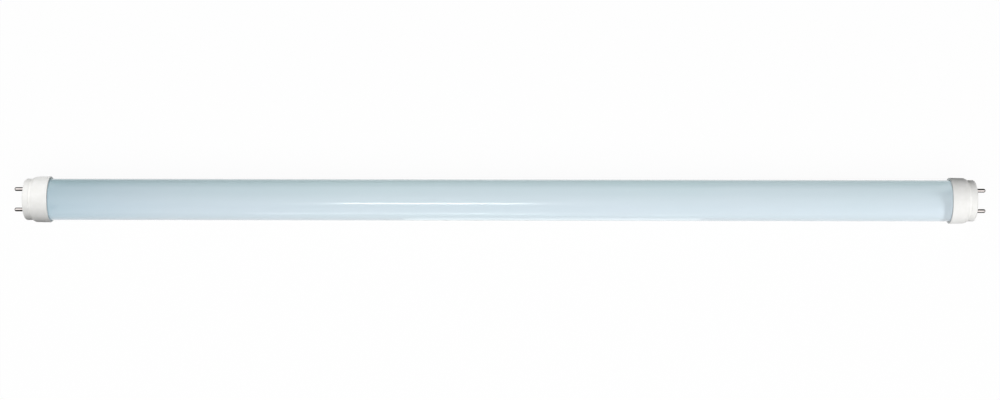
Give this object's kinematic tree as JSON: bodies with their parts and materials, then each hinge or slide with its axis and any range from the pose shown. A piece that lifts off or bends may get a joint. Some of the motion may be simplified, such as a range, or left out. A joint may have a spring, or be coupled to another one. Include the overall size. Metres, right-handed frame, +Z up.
{
  "type": "led tube",
  "caption": "Straight opal glass LED tube lamp with a stepped white plastic cap and a pair of metal contact pins at each end.",
  "frame": {"origin": "on the surface that the lamp lies on, under the middle of its length", "axes": "+X along the lamp, away from the end that holds the driver; +Z up, the way the light leaves; the pins of each end lie side by side along Y"},
  "size_m": [0.604, 0.0286, 0.0286],
  "materials": {
    "opal_glass": "gloss",
    "cap_plastic": "satin",
    "contact_metal": "satin",
    "board_aluminium": "matte",
    "emitter": "satin",
    "silicone": "satin",
    "circuit_board": "satin",
    "moulded_black": "matte",
    "resistor_body": "satin",
    "capacitor_sleeve": "gloss",
    "ferrite": "matte",
    "winding_copper": "satin",
    "sleeve_film": "gloss",
    "wire_white": "satin",
    "wire_red": "satin",
    "wire_black": "satin"
  },
  "bodies": {
    "root": {"opal_glass_tube": "opal_glass", "driver_end_cap": "cap_plastic", "far_end_cap": "cap_plastic", "driver_end_pin_1": "contact_metal", "driver_end_pin_2": "contact_metal", "far_end_pin_1": "contact_metal", "far_end_pin_2": "contact_metal", "driver_end_adhesive": "silicone", "far_end_adhesive": "silicone", "led_board": "board_aluminium", "led_packages": "emitter", "strip_adhesive": "silicone", "driver_board": "circuit_board", "fuse_resistor": "resistor_body", "bridge_rectifier": "moulded_black", "driver_chip": "moulded_black", "freewheel_diode": "moulded_black", "sense_resistors": "moulded_black", "input_capacitor": "capacitor_sleeve", "output_capacitor": "capacitor_sleeve", "choke_core": "ferrite", "choke_winding": "winding_copper", "driver_sleeve": "sleeve_film", "input_wire_1": "wire_white", "input_wire_2": "wire_white", "output_wire_1": "wire_red", "output_wire_2": "wire_black", "far_end_jumper": "wire_white"}
  },
  "joints": []
}
